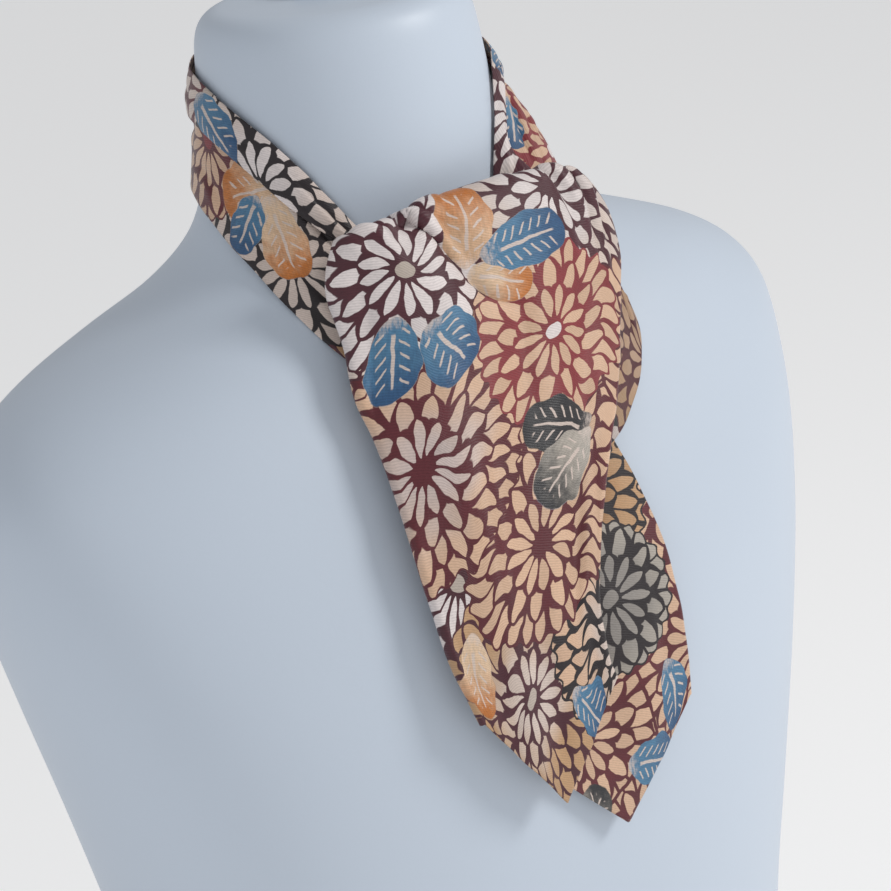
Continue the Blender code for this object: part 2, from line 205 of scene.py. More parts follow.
leafRows = (  # piece, across, down, half length, half width, turn of the tip, at the stalk, at the tip
    ("front", -50, 53, 14.8, 10.8, 94, "blue", "navy"),
    ("front", -28, 54, 14.8, 11.2, 57, "blue", "navy"),
    ("front", 20, 101, 18, 10, 196, "slate", "slate"),
    ("front", 22, 118, 17, 12, 142, "fog", "slate"),
    ("front", -11.0, 15.0, 16.5, 11.0, -80, "tan", "ochre"),
    ("front", -0.8, 38.6, 14.5, 7.5, 20, "beige", "ochre"),
    ("front", 12.4, 27.1, 20.5, 9.8, -3, "blue", "navy"),
    ("front", 26, 214, 15, 9, 40, "blue", "navy"),
    ("front", -34, 176, 17, 10, 110, "beige", "ochre"),
    ("back", 34, 146, 15, 9, 70, "blue", "navy"),
    ("back", -20, 128, 16, 10, 20, "beige", "ochre"),
    ("band", -120, 12, 21, 13, 45, "beige", "ochre"),
    ("band", -138, 22, 17, 10.5, 143, "beige", "ochre"),
    ("band", -121, 27, 13, 8, 92, "blue", "navy"),
    ("band", 146, 8, 12, 6.5, 0, "blue", "navy"),
    ("pleat", -101, 11, 17, 9, 159, "blue", "navy"),
    ("pleat", 118, 8, 14, 8, 10, "blue", "navy"),
    ("crossing", 30, 30, 17, 10, 60, "blue", "navy"),
)


def wire(tree, target, value):
    # a socket is linked, anything else is set on the input itself
    if isinstance(value, bpy.types.NodeSocket):
        tree.links.new(value, target)
    elif value is not None:
        if target.type == "RGBA" and len(value) == 3:
            value = (*value, 1.0)
        target.default_value = value


def calc(tree, operation, a, b=None, c=None):
    node = tree.nodes.new("ShaderNodeMath")
    node.operation = operation
    for k, value in enumerate((a, b, c)):
        wire(tree, node.inputs[k], value)
    return node.outputs[0]


def vectorCalc(tree, operation, a, b=None, out=0):
    node = tree.nodes.new("ShaderNodeVectorMath")
    node.operation = operation
    for k, value in enumerate((a, b)):
        wire(tree, node.inputs[k], value)
    return node.outputs[out]


def scaled(tree, vector, factor):
    node = tree.nodes.new("ShaderNodeVectorMath")
    node.operation = "SCALE"
    wire(tree, node.inputs[0], vector)
    wire(tree, node.inputs["Scale"], factor)
    return node.outputs[0]


def blend(tree, kind, share, a, b):
    node = tree.nodes.new("ShaderNodeMix")
    node.data_type = kind
    pick = [s for s in node.inputs if s.enabled and s.name in ("A", "B")]
    wire(tree, next(s for s in node.inputs if s.enabled and s.name == "Factor"), share)
    wire(tree, pick[0], a)
    wire(tree, pick[1], b)
    return next(s for s in node.outputs if s.enabled)


def ramp(tree, value, low, high, start=0.0, end=1.0):
    node = tree.nodes.new("ShaderNodeMapRange")
    node.interpolation_type = "SMOOTHSTEP"
    for k, item in enumerate((value, low, high, start, end)):
        wire(tree, node.inputs[k], item)
    return node.outputs[0]


def noise(tree, vector, scale, detail=2.0, roughness=0.5, out="Fac"):
    node = tree.nodes.new("ShaderNodeTexNoise")
    wire(tree, node.inputs["Vector"], vector)
    node.inputs["Scale"].default_value = scale
    node.inputs["Detail"].default_value = detail
    node.inputs["Roughness"].default_value = roughness
    return node.outputs[out]


def cells(tree, vector, size, feature="F1"):
    node = tree.nodes.new("ShaderNodeTexVoronoi")
    node.voronoi_dimensions, node.feature = "2D", feature
    wire(tree, node.inputs["Vector"], vector)
    node.inputs["Scale"].default_value = 1 / size
    node.inputs["Randomness"].default_value = 0.55
    return node.outputs


def parts(tree, vector):
    node = tree.nodes.new("ShaderNodeSeparateXYZ")
    wire(tree, node.inputs[0], vector)
    return node.outputs


def join(tree, x, y, z=0.0):
    node = tree.nodes.new("ShaderNodeCombineXYZ")
    for k, value in enumerate((x, y, z)):
        wire(tree, node.inputs[k], value)
    return node.outputs[0]


def newGroup(name, inputs, outputs):
    group = bpy.data.node_groups.new(name, "ShaderNodeTree")
    kinds = {"f": "NodeSocketFloat", "v": "NodeSocketVector", "c": "NodeSocketColor"}
    for label, kind in inputs:
        group.interface.new_socket(name=label, in_out="INPUT", socket_type=kinds[kind])
    for label, kind in outputs:
        group.interface.new_socket(name=label, in_out="OUTPUT", socket_type=kinds[kind])
    return group, group.nodes.new("NodeGroupInput").outputs, group.nodes.new("NodeGroupOutput").inputs


def place(tree, group, **values):
    node = tree.nodes.new("ShaderNodeGroup")
    node.node_tree = group
    for label, value in values.items():
        wire(tree, node.inputs[label], value)
    return node.outputs


flowerColors = ("Inner", "Rim", "Ground", "Button")


def makeScatter():
    # flowers strewn over all of the cloth. Polar is radius, angle and distance from the border
    group, given, out = newGroup(
        "scatteredFlowers", [("Print", "v")],
        [("Polar", "v"), ("Seed", "f")] + [(label, "c") for label in flowerColors],
    )
    nearest = cells(group, given["Print"], printSizes["scatter"])
    x, y, _ = parts(group, vectorCalc(group, "SUBTRACT", given["Print"], nearest["Position"]))
    lot = parts(group, nearest["Color"])
    radius = vectorCalc(group, "LENGTH", join(group, x, y), out=1)
    angle = calc(group, "ADD", calc(group, "ARCTAN2", y, x), calc(group, "MULTIPLY", lot[0], 6.0))
    border = cells(group, given["Print"], printSizes["scatter"], "DISTANCE_TO_EDGE")["Distance"]
    border = calc(group, "MULTIPLY", border, printSizes["scatter"])
    wire(group, out["Polar"], join(group, radius, angle, border))
    wire(group, out["Seed"], calc(group, "MULTIPLY_ADD", lot[1], -50.0, -1.0))
    warm = calc(group, "GREATER_THAN", lot[2], 0.5)
    wire(group, out["Inner"], blend(group, "RGBA", warm, silkTones["white"], silkTones["peach"]))
    wire(group, out["Rim"], blend(group, "RGBA", warm, silkTones["cream"], silkTones["peach"]))
    deep = blend(group, "RGBA", calc(group, "GREATER_THAN", lot[1], 0.55), silkTones["maroon"], silkTones["coal"])
    wire(group, out["Ground"], blend(group, "RGBA", warm, deep, silkTones["wine"]))
    wire(group, out["Button"], blend(group, "RGBA", warm, silkTones["stone"], silkTones["red"]))
    return group


def makeFlowerPick():
    # lays one flower's round over what is below, and hands on its own centre and colours
    group, given, out = newGroup(
        "flowerPick",
        [("Print", "v"), ("Centre", "v"), ("Radius", "f"), ("Turn", "f"), ("PolarBelow", "v"), ("SeedBelow", "f")]
        + [(label, "c") for label in flowerColors] + [(label + "Below", "c") for label in flowerColors],
        [("Polar", "v"), ("Seed", "f")] + [(label, "c") for label in flowerColors],
    )
    offset = vectorCalc(group, "SUBTRACT", given["Print"], given["Centre"])
    x, y, _ = parts(group, offset)
    radius = vectorCalc(group, "LENGTH", offset, out=1)
    angle = calc(group, "ADD", calc(group, "ARCTAN2", y, x), given["Turn"])
    wave = calc(group, "COSINE", calc(group, "MULTIPLY", angle, 26.0))
    rim = calc(group, "MULTIPLY_ADD", wave, -printSizes["scallop"], 1.0)
    border = calc(group, "SUBTRACT", calc(group, "MULTIPLY", rim, given["Radius"]), radius)
    inside = calc(group, "GREATER_THAN", border, 0.0)
    polar = join(group, radius, angle, border)
    wire(group, out["Polar"], blend(group, "VECTOR", inside, given["PolarBelow"], polar))
    seed = calc(group, "ADD", given["Turn"], given["Radius"])
    wire(group, out["Seed"], blend(group, "FLOAT", inside, given["SeedBelow"], seed))
    for label in flowerColors:
        wire(group, out[label], blend(group, "RGBA", inside, given[label + "Below"], given[label]))
    return group


def makePetalRing():
    # one ring of petals: Petal is 1 on a petal, and the outline round it covers what is below
    group, given, out = newGroup(
        "petalRing",
        [("Polar", "v"), ("Seed", "f"), ("Count", "f"), ("Shift", "f"), ("Middle", "f"), ("Length", "f"),
         ("Width", "f"), ("PetalBelow", "f"), ("ToneBelow", "f")],
        [("Petal", "f"), ("Tone", "f")],
    )
    radius, angle, _ = parts(group, given["Polar"])
    step = calc(group, "DIVIDE", 2 * math.pi, given["Count"])
    turn = calc(group, "ADD", calc(group, "DIVIDE", angle, step), given["Shift"])
    cell = calc(group, "FLOORED_MODULO", calc(group, "FLOOR", turn), given["Count"])
    chance = group.nodes.new("ShaderNodeTexWhiteNoise")
    chance.noise_dimensions = "3D"
    wire(group, chance.inputs["Vector"], join(group, cell, given["Middle"], given["Seed"]))
    lot = parts(group, chance.outputs["Color"])
    side = calc(group, "SUBTRACT", calc(group, "FRACT", turn), calc(group, "MULTIPLY_ADD", lot[1], 0.14, 0.43))
    side = calc(group, "MULTIPLY", calc(group, "MULTIPLY", side, step), radius)
    length = calc(group, "MULTIPLY", given["Length"], calc(group, "MULTIPLY_ADD", lot[0], 0.28, 0.82))
    along = calc(group, "DIVIDE", calc(group, "SUBTRACT", radius, given["Middle"]), length)
    width = calc(group, "MULTIPLY", given["Width"], calc(group, "MULTIPLY_ADD", along, 0.3, 1.0))
    width = calc(group, "MULTIPLY", width, calc(group, "MULTIPLY_ADD", lot[2], 0.24, 0.86))
    width = calc(group, "MAXIMUM", width, 0.3)
    cross = calc(group, "DIVIDE", side, width)
    # a low power across draws the petals' ends to a point
    reach = calc(group, "ADD", calc(group, "POWER", calc(group, "ABSOLUTE", along), 2.2),
                 calc(group, "POWER", calc(group, "ABSOLUTE", cross), 1.35))
    slope = join(group, calc(group, "DIVIDE", along, length), calc(group, "DIVIDE", cross, width))
    slope = vectorCalc(group, "LENGTH", slope, out=1)
    gap = calc(group, "DIVIDE", calc(group, "SUBTRACT", reach, 1.0),
               calc(group, "MAXIMUM", calc(group, "MULTIPLY", slope, 1.8), 0.02))
    petal = ramp(group, gap, 0.12, -0.12)
    cover = ramp(group, gap, printSizes["outline"] + 0.12, printSizes["outline"] - 0.12)
    wire(group, out["Petal"], blend(group, "FLOAT", cover, given["PetalBelow"], petal))
    wire(group, out["Tone"], blend(group, "FLOAT", cover, given["ToneBelow"], lot[0]))
    return group


def makeLeafShape():
    # Local is along and across the leaf in mm, and its share along. Inside is 1 on the leaf
    group, given, out = newGroup(
        "leafShape", [("Offset", "v"), ("Length", "f"), ("Width", "f"), ("Turn", "f")],
        [("Local", "v"), ("Inside", "f")],
    )
    x, y, _ = parts(group, given["Offset"])
    cos, sin = calc(group, "COSINE", given["Turn"]), calc(group, "SINE", given["Turn"])
    along = calc(group, "ADD", calc(group, "MULTIPLY", x, cos), calc(group, "MULTIPLY", y, sin))
    across = calc(group, "SUBTRACT", calc(group, "MULTIPLY", y, cos), calc(group, "MULTIPLY", x, sin))
    share = calc(group, "DIVIDE", along, given["Length"])
    lobes = calc(group, "MULTIPLY_ADD", calc(group, "SINE", calc(group, "MULTIPLY", share, 9.0)), 0.05, 1.0)
    widest = calc(group, "MULTIPLY_ADD", share, 0.24, 1.02)
    width = calc(group, "MULTIPLY", given["Width"], calc(group, "MULTIPLY", lobes, widest))
    cross = calc(group, "DIVIDE", across, width)
    reach = calc(group, "ADD", calc(group, "POWER", calc(group, "ABSOLUTE", share), 1.9),
                 calc(group, "POWER", calc(group, "ABSOLUTE", cross), 2.0))
    wire(group, out["Local"], join(group, along, across, share))
    wire(group, out["Inside"], ramp(group, reach, 1.04, 0.96))
    return group


def makeLeafPick(shape):
    # lays one leaf over what is below
    group, given, out = newGroup(
        "leafPick",
        [("Print", "v"), ("Centre", "v"), ("Length", "f"), ("Width", "f"), ("Turn", "f"), ("Stalk", "c"),
         ("Tip", "c"), ("LocalBelow", "v"), ("StalkBelow", "c"), ("TipBelow", "c"), ("LeafBelow", "f")],
        [("Local", "v"), ("Stalk", "c"), ("Tip", "c"), ("Leaf", "f")],
    )
    offset = vectorCalc(group, "SUBTRACT", given["Print"], given["Centre"])
    leaf = place(group, shape, Offset=offset, Length=given["Length"], Width=given["Width"], Turn=given["Turn"])
    wire(group, out["Local"], blend(group, "VECTOR", leaf["Inside"], given["LocalBelow"], leaf["Local"]))
    wire(group, out["Stalk"], blend(group, "RGBA", leaf["Inside"], given["StalkBelow"], given["Stalk"]))
    wire(group, out["Tip"], blend(group, "RGBA", leaf["Inside"], given["TipBelow"], given["Tip"]))
    wire(group, out["Leaf"], calc(group, "MAXIMUM", leaf["Inside"], given["LeafBelow"]))
    return group


def makeLeafScatter(shape):
    # leaves strewn where no listed flower was placed
    group, given, out = newGroup(
        "scatteredLeaves", [("Print", "v"), ("Seed", "f")],
        [("Local", "v"), ("Stalk", "c"), ("Tip", "c"), ("Leaf", "f")],
    )
    moved = vectorCalc(group, "ADD", given["Print"], (37.0, 19.0, 0.0))
    nearest = cells(group, moved, printSizes["leafScatter"])
    lot = parts(group, nearest["Color"])
    leaf = place(group, shape, Offset=vectorCalc(group, "SUBTRACT", moved, nearest["Position"]),
                 Length=17.0, Width=10.3, Turn=calc(group, "MULTIPLY", lot[0], 6.3))
    warm, dark = calc(group, "GREATER_THAN", lot[1], 0.6), calc(group, "GREATER_THAN", lot[2], 0.8)
    stalk = blend(group, "RGBA", warm, silkTones["blue"], silkTones["beige"])
    tip = blend(group, "RGBA", warm, silkTones["navy"], silkTones["ochre"])
    wire(group, out["Stalk"], blend(group, "RGBA", dark, stalk, silkTones["fog"]))
    wire(group, out["Tip"], blend(group, "RGBA", dark, tip, silkTones["slate"]))
    wire(group, out["Local"], leaf["Local"])
    wire(group, out["Leaf"], calc(group, "MULTIPLY", leaf["Inside"], calc(group, "LESS_THAN", given["Seed"], 0.0)))
    return group


def makeBrushedLeaf():
    # the leaf's washed colour, its pale midrib and its loose side strokes
    group, given, out = newGroup(
        "brushedLeaf", [("Print", "v"), ("Local", "v"), ("Stalk", "c"), ("Tip", "c")], [("Color", "c")],
    )
    along, across, share = parts(group, given["Local"])
    brush = noise(group, given["Print"], 0.22, 3.0, 0.65)
    washed = calc(group, "ADD", share, calc(group, "MULTIPLY_ADD", brush, 1.3, -0.65))
    color = blend(group, "RGBA", ramp(group, washed, -0.5, 0.95), given["Stalk"], given["Tip"])
    streak = noise(group, vectorCalc(group, "MULTIPLY", given["Local"], (0.14, 0.8, 0)), 1.0, 4.0, 0.7)
    color = scaled(group, color, calc(group, "MULTIPLY_ADD", streak, 0.9, 0.55))
    dry = noise(group, vectorCalc(group, "MULTIPLY", given["Print"], (1.0, 0.35, 1.0)), 0.9, 2.0, 0.7)
    pale = ramp(group, calc(group, "ADD", share, calc(group, "MULTIPLY", dry, 0.9)), -0.18, -0.6)
    color = blend(group, "RGBA", calc(group, "MULTIPLY", pale, 0.75), color, silkTones["cream"])
    spread = calc(group, "ABSOLUTE", across)
    midrib = ramp(group, calc(group, "ADD", spread, calc(group, "MULTIPLY", share, 0.3)), 0.8, 0.5)
    reach = calc(group, "ABSOLUTE", calc(group, "ADD", share, -0.05))
    midrib = calc(group, "MULTIPLY", midrib, ramp(group, reach, 0.68, 0.6))
    lean = calc(group, "MULTIPLY_ADD", spread, -0.75, along)
    lane = calc(group, "FRACT", calc(group, "MULTIPLY_ADD", lean, 1 / 4.5, 20.3))
    stroke = ramp(group, calc(group, "ABSOLUTE", calc(group, "SUBTRACT", lane, 0.5)), 0.14, 0.08)
    lot = noise(group, vectorCalc(group, "MULTIPLY", given["Local"], (0.25, 0.05, 0)), 1.0, 0.0)
    start = calc(group, "MULTIPLY_ADD", lot, 2.0, 1.4)
    stroke = calc(group, "MULTIPLY", stroke, ramp(group, calc(group, "SUBTRACT", spread, start), 0.0, 0.4))
    stroke = calc(group, "MULTIPLY", stroke, ramp(group, spread, 6.8, 6.2))
    stroke = calc(group, "MULTIPLY", stroke, ramp(group, calc(group, "ABSOLUTE", share), 0.74, 0.66))
    veins = calc(group, "MULTIPLY", calc(group, "MAXIMUM", midrib, stroke), 0.92)
    wire(group, out["Color"], blend(group, "RGBA", veins, color, silkTones["cream"]))
    return group


def makeSilkPrint():
    group, given, out = newGroup("silkPrint", [("Print", "v")], [("Color", "c"), ("Dye", "f")])
    hand = given["Print"]
    for scale, amount in ((0.16, 1.7), (0.7, 0.32)):  # the unsteady line of the hand
        wobble = noise(group, given["Print"], scale, 1.0, out="Color")
        wobble = vectorCalc(group, "SUBTRACT", wobble, (0.5, 0.5, 0.5))
        hand = vectorCalc(group, "ADD", hand, vectorCalc(group, "MULTIPLY", wobble, (amount, amount, 0)))
    pick, below = makeFlowerPick(), place(group, makeScatter(), Print=hand)
    for piece, across, down, radius, turn, *chosen in flowerRows:
        spot = (across + printSpots[piece][0], down + printSpots[piece][1], 0)
        values = {label: silkTones[color] for label, color in zip(flowerColors, chosen)}
        values.update({label + "Below": below[label] for label in ("Polar", "Seed") + flowerColors})
        below = place(group, pick, Print=hand, Centre=spot, Radius=radius, Turn=turn, **values)
    ring, petal, shade = makePetalRing(), 0.0, 0.5
    for count, shift, middle, length, width in reversed(petalRings):
        layer = place(group, ring, Polar=below["Polar"], Seed=below["Seed"], Count=count, Shift=shift,
                      Middle=middle, Length=length, Width=width, PetalBelow=petal, ToneBelow=shade)
        petal, shade = layer["Petal"], layer["Tone"]
    radius, angle, border = parts(group, below["Polar"])
    petal = calc(group, "MULTIPLY", petal, ramp(group, border, 0.75, 1.05))
    cloud = noise(group, given["Print"], 0.035, 2.0)
    outward = calc(group, "ADD", radius, calc(group, "MULTIPLY_ADD", cloud, 30.0, -15.0))
    fill = blend(group, "RGBA", ramp(group, outward, 10.0, 34.0), below["Inner"], below["Rim"])
    fill = scaled(group, fill, calc(group, "MULTIPLY_ADD", shade, 0.16, 0.9))
    ground = scaled(group, below["Ground"], calc(group, "MULTIPLY_ADD", noise(group, given["Print"], 0.05), 0.8, 0.6))
    color = blend(group, "RGBA", petal, ground, fill)
    # the button: a plain oval with a clear outline
    oval = calc(group, "COSINE", calc(group, "MULTIPLY", angle, 2.0))
    oval = calc(group, "SUBTRACT", radius, calc(group, "MULTIPLY_ADD", oval, 0.5, printSizes["button"]))
    color = blend(group, "RGBA", ramp(group, oval, 1.5, 1.2), color, ground)
    color = blend(group, "RGBA", ramp(group, oval, 0.12, -0.12), color, below["Button"])
    shape = makeLeafShape()
    pick, leaf = makeLeafPick(shape), place(group, makeLeafScatter(shape), Print=hand, Seed=below["Seed"])
    for piece, across, down, length, width, turn, stalk, tip in leafRows:
        spot = (across + printSpots[piece][0], down + printSpots[piece][1], 0)
        leaf = place(group, pick, Print=hand, Centre=spot, Length=length, Width=width, Turn=math.radians(turn),
                     Stalk=silkTones[stalk], Tip=silkTones[tip], LocalBelow=leaf["Local"],
                     StalkBelow=leaf["Stalk"], TipBelow=leaf["Tip"], LeafBelow=leaf["Leaf"])
    brushed = place(group, makeBrushedLeaf(), Print=given["Print"], Local=leaf["Local"], Stalk=leaf["Stalk"],
                    Tip=leaf["Tip"])
    wire(group, out["Color"], blend(group, "RGBA", leaf["Leaf"], color, brushed["Color"]))
    wire(group, out["Dye"], calc(group, "MAXIMUM", petal, leaf["Leaf"]))
    return group


def makeTwill():
    # fine diagonal ribs of the weave, with a slight unevenness of the yarns
    group, given, out = newGroup("silkTwill", [("Cloth", "v"), ("Pitch", "f")], [("Height", "f"), ("Grain", "f")])
    x, y, _ = parts(group, given["Cloth"])
    slub = noise(group, vectorCalc(group, "MULTIPLY", given["Cloth"], (0.25, 1.6, 1)), 1.0, 2.0)
    lane = calc(group, "ADD", calc(group, "MULTIPLY_ADD", x, -0.45, y), calc(group, "MULTIPLY", slub, 0.9))
    lane = calc(group, "MULTIPLY", lane, calc(group, "DIVIDE", 2 * math.pi, given["Pitch"]))
    rib = calc(group, "MULTIPLY_ADD", calc(group, "SINE", lane), 0.5, 0.5)
    weft = calc(group, "SINE", calc(group, "MULTIPLY", calc(group, "SUBTRACT", x, y), 2 * math.pi / 0.45))
    wire(group, out["Height"], calc(group, "ADD", rib, calc(group, "MULTIPLY", weft, 0.22)))
    wire(group, out["Grain"], calc(group, "ADD", calc(group, "MULTIPLY", rib, 0.6), calc(group, "MULTIPLY", slub, 0.6)))
    return group


print("silk print and weave")
silkPrint = makeSilkPrint()
silkTwill = makeTwill()
silkLook = {"twill": 1.0, "grainTint": 0.3, "roughness": 0.36, "sheen": 0.2, "weaveDepth": 0.0002}


def silkMaterial(name, piece, depth=1.0):
    # depth darkens the colour of a whole stretch: painted shade, for a stretch that lies in shadow
    made = bpy.data.materials.new(name)
    made.use_nodes = True
    tree = made.node_tree
    shader = tree.nodes["Principled BSDF"]
    coord = tree.nodes.new("ShaderNodeUVMap")
    coord.uv_map = "cloth"
    cloth = scaled(tree, coord.outputs[0], 1000.0)
    layout = tree.nodes.new("ShaderNodeMapping")
    wire(tree, layout.inputs["Vector"], cloth)
    layout.inputs["Location"].default_value = (*printSpots[piece], 0)
    printed = place(tree, silkPrint, Print=layout.outputs[0])
    weave = place(tree, silkTwill, Cloth=cloth, Pitch=silkLook["twill"])
    worn = calc(tree, "MULTIPLY_ADD", noise(tree, cloth, 0.03, 3.0), 0.12, 0.94)
    tint = calc(tree, "MULTIPLY_ADD", weave["Grain"], silkLook["grainTint"], 1 - 0.6 * silkLook["grainTint"])
    # depth scales the base colour down: painted shade
    tint = calc(tree, "MULTIPLY", calc(tree, "MULTIPLY", tint, worn), depth)
    wire(tree, shader.inputs["Base Color"], scaled(tree, printed["Color"], tint))
    rough = calc(tree, "MULTIPLY_ADD", weave["Grain"], 0.14, silkLook["roughness"])
    wire(tree, shader.inputs["Roughness"], calc(tree, "MULTIPLY_ADD", printed["Dye"], -0.05, rough))
    bump = tree.nodes.new("ShaderNodeBump")
    bump.inputs["Strength"].default_value = 0.4
    bump.inputs["Distance"].default_value = silkLook["weaveDepth"]
    wire(tree, bump.inputs["Height"], weave["Height"])
    wire(tree, shader.inputs["Normal"], bump.outputs[0])
    shader.inputs["Sheen Weight"].default_value = silkLook["sheen"]
    shader.inputs["Sheen Roughness"].default_value = 0.4
    shader.inputs["Specular IOR Level"].default_value = 0.42
    return made


def formMaterial(name, color):
    # satin moulded plastic, with faint clouding and a fine skin
    made = bpy.data.materials.new(name)
    made.use_nodes = True
    tree = made.node_tree
    shader = tree.nodes["Principled BSDF"]
    coord = tree.nodes.new("ShaderNodeTexCoord")
    cloud = noise(tree, coord.outputs["Object"], 9.0, 3.0)
    speck = noise(tree, coord.outputs["Object"], 900.0, 2.0)
    shade = calc(tree, "MULTIPLY_ADD", cloud, 0.05, 0.955)
    shade = calc(tree, "ADD", shade, calc(tree, "MULTIPLY_ADD", speck, 0.02, -0.01))
    wire(tree, shader.inputs["Base Color"], scaled(tree, color, shade))
    wire(tree, shader.inputs["Roughness"], calc(tree, "MULTIPLY_ADD", cloud, 0.12, 0.38))
    bump = tree.nodes.new("ShaderNodeBump")
    bump.inputs["Strength"].default_value = 0.12
    bump.inputs["Distance"].default_value = 0.0003
    wire(tree, bump.inputs["Height"], noise(tree, coord.outputs["Object"], 260.0, 3.0))
    wire(tree, shader.inputs["Normal"], bump.outputs[0])
    shader.inputs["Specular IOR Level"].default_value = 0.45
    return made


def clothPiece(name, points, uv, wall, material, shell=clothSizes["shell"]):
    # thin cloth whose outer face lies where the solid's outer face does
    across, along = points.shape[:2]
    points = points + normalsOf(points) * (wall - shell)
    bm = bmesh.new()
    bmesh.ops.create_grid(bm, x_segments=across - 1, y_segments=along - 1, size=1)
    spot = {}
    for vertex in bm.verts:
        spot[vertex] = (round((vertex.co.x + 1) / 2 * (across - 1)), round((vertex.co.y + 1) / 2 * (along - 1)))
    layer = bm.loops.layers.uv.new("cloth")
    for face in bm.faces:
        for loop in face.loops:
            i, j = spot[loop.vert]
            loop[layer].uv = (uv[0][i, j] * mm, uv[1][i, j] * mm)
    for vertex, (i, j) in spot.items():
        vertex.co = Vector(points[i, j]) * mm
    bmesh.ops.recalc_face_normals(bm, faces=bm.faces)
    outward = sum(f.normal.dot(f.calc_center_median() * Vector((1, 1, 0))) for f in bm.faces)
    if outward < 0:
        bmesh.ops.reverse_faces(bm, faces=bm.faces)
    mesh = bpy.data.meshes.new(name)
    bm.to_mesh(mesh)
    bm.free()
    mesh.shade_smooth()
    mesh.materials.append(material)
    made = bpy.data.objects.new(name, mesh)
    bpy.context.scene.collection.objects.link(made)
    thick = made.modifiers.new("thickness", "SOLIDIFY")
    thick.thickness = shell * mm
    thick.offset = 1.0
    thick.use_even_offset = False
    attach(made, "root")
    area = sum(f.area for f in mesh.polygons)
    size = [round(float(np.ptp(uv[k], axis=k).mean())) for k in (0, 1)]
    print(name, "mm across and down", size, "area m2", round(area, 5))
    return made


neckband = {
    "around": 300, "down": 34, "wall": 1.2, "covered": 9.0,  # mm that lie under the pleat
    "rows": (  # angle, tuck, ridge, ridge reach, low, low reach
        (-32, 551, 536, 75.2, 507, 89.5), (-38, 558, 541, 74.2, 514, 89.5), (-45, 567, 548, 72.5, 524, 86.5),
        (-54, 577, 556.5, 69.7, 536, 81.4), (-66, 587.5, 567.5, 66.0, 549, 74.7),
        (-82, 598, 578, 62.8, 560, 68.6), (-100, 607, 586, 61.2, 569, 65.0), (-125, 610, 590, 60.8, 573, 63.6),
        (-180, 611, 591, 60.8, 574, 63.6), (-230, 608, 588, 61.2, 571, 64.4),
        (-266, 604, 583, 64.0, 564, 69.5), (-286, 602, 580, 67.5, 558, 74.8),
        (-300, 599, 576, 71.2, 553, 79.5), (-309, 594, 572, 73.6, 549, 83.0),
        (-317, 583, 566, 74.6, 544, 85.0), (-325, 572, 558, 75.4, 538, 86.4),
    ),
    "creases": (  # three points, across and down, then width, depth, lip and the end that runs off the cloth
        (-178, 15, -156, 9, -128, 6, 1.7, -1.1, 0.6, "start"), (-174, 34, -150, 30, -118, 31, 2.1, -0.9, 0.5, "start"),
        (-176, 25, -160, 21, -142, 21, 1.5, -0.7, 0.4, "start"), (-140, 26, -118, 17, -92, 14, 2.6, -0.7, 0.4, "none"),
        (-112, 33, -92, 26, -70, 27, 2.4, -0.8, 0.5, "none"), (-74, 12, -50, 17, -22, 13, 2.8, -0.8, 0.5, "none"),
        (-52, 27, -28, 31, -4, 26, 2.2, -0.7, 0.4, "none"), (-12, 9, 16, 13, 44, 8, 2.4, -0.7, 0.4, "none"),
        (8, 27, 36, 22, 70, 27, 2.8, -0.9, 0.5, "none"), (58, 12, 80, 17, 100, 13, 2.2, -0.6, 0.4, "none"),
        (88, 31, 112, 24, 138, 25, 2.4, -0.8, 0.5, "none"), (104, 12, 130, 9, 172, 14, 1.8, -0.9, 0.5, "none"),
        (174, 28, 152, 25, 130, 30, 2.0, -0.9, 0.5, "start"),
        # the deep fold beside the pleat, on the wearer's left
        (130, 10.5, 148, 13, 163, 18, 1.7, -2.2, 0.2, "none"), (126, 17, 146, 21, 168, 27, 1.6, -0.9, 0.6, "none"),
    ),
}
neckbandPleat = {
    "around": 300, "down": 24, "wall": 1.2, "shell": 0.45, "lift": 0.75,
    "rows": (  # angle, top, angle of the fold, fold
        (-33, 557.5, -33, 551), (-38, 564.5, -38, 556), (-45, 574.5, -45, 562.5), (-54, 586.2, -54, 571),
        (-66, 597.8, -66, 581.5), (-82, 608.3, -82, 592), (-100, 616, -100, 600), (-125, 619, -125, 603),
        (-180, 621, -180, 604), (-230, 617, -230, 601), (-266, 612, -266, 597.5), (-286, 610, -287, 597.5),
        (-298, 607.5, -301, 597.5), (-306, 603.5, -310, 595.5), (-313, 597, -316, 589),
        (-319.5, 588, -320, 580), (-325.5, 578, -324, 571.5), (-330, 568, -326, 565),
        (-334, 557.5, -327, 561.5),
    ),
    "curl": 0.12, "hidden": 3.0,  # the fold's radius and the ply that runs back under it
    "creases": (
        (-171, 5, -154, 6, -134, 4.5, 1.1, -0.8, 0.5, "start"), (-171, 10, -156, 12, -138, 12.5, 1.0, -0.7, 0.4, "start"),
        (-140, 9, -122, 8, -100, 10, 1.5, -0.5, 0.3, "none"), (-88, 6, -70, 9, -48, 7, 1.6, -0.6, 0.3, "none"),
        (-42, 12, -16, 9, 12, 12, 1.7, -0.6, 0.3, "none"), (4, 5, 30, 7, 52, 5, 1.4, -0.5, 0.3, "none"),
        (48, 12, 70, 9, 92, 12, 1.6, -0.6, 0.3, "none"), (98, 6, 116, 8, 140, 5.5, 1.5, -0.6, 0.3, "none"),
        (171, 8, 158, 7, 138, 9, 1.1, -0.7, 0.4, "start"),
    ),
}
